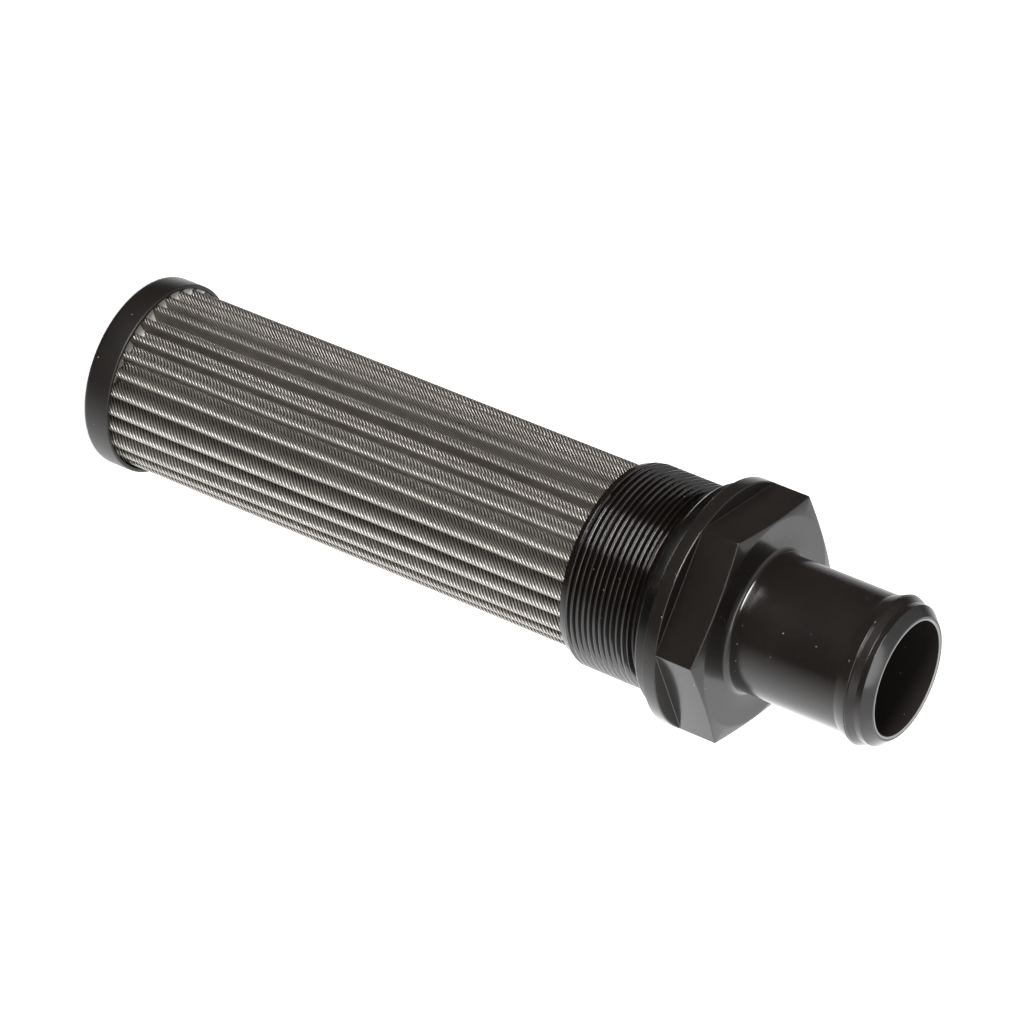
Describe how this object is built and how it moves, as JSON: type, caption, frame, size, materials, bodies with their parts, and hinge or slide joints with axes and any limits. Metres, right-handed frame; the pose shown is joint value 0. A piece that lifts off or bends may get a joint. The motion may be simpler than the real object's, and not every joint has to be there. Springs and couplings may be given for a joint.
{
  "type": "hydraulic suction strainer",
  "caption": "Suction strainer with a pleated wire element, an end cap, and a threaded head with flange, hexagon and beaded hose tail.",
  "frame": {"origin": "centre of the end cap's flat end, which the strainer stands on", "axes": "+Z along the axis from the end cap to the mouth of the hose tail; a corner of the hexagon lies over +X"},
  "size_m": [0.09, 0.09, 0.325],
  "materials": {
    "black_nylon": "glass-filled nylon, black, as moulded, satin",
    "cap_nylon": "glass-filled nylon, black, as moulded, matt",
    "seal_rubber": "black nitrile rubber, smooth",
    "steel_mesh": "woven stainless wire, bright knuckles, dull between",
    "adhesive": "cured adhesive, light grey, smooth",
    "cage_nylon": "nylon, black, as moulded"
  },
  "bodies": {
    "root": {"strainer_body": "black_nylon", "flange_seal": "seal_rubber", "filter_mesh": "steel_mesh", "end_cap": "cap_nylon", "potting_cap": "adhesive", "potting_head": "adhesive", "support_cage": "cage_nylon"}
  },
  "joints": []
}
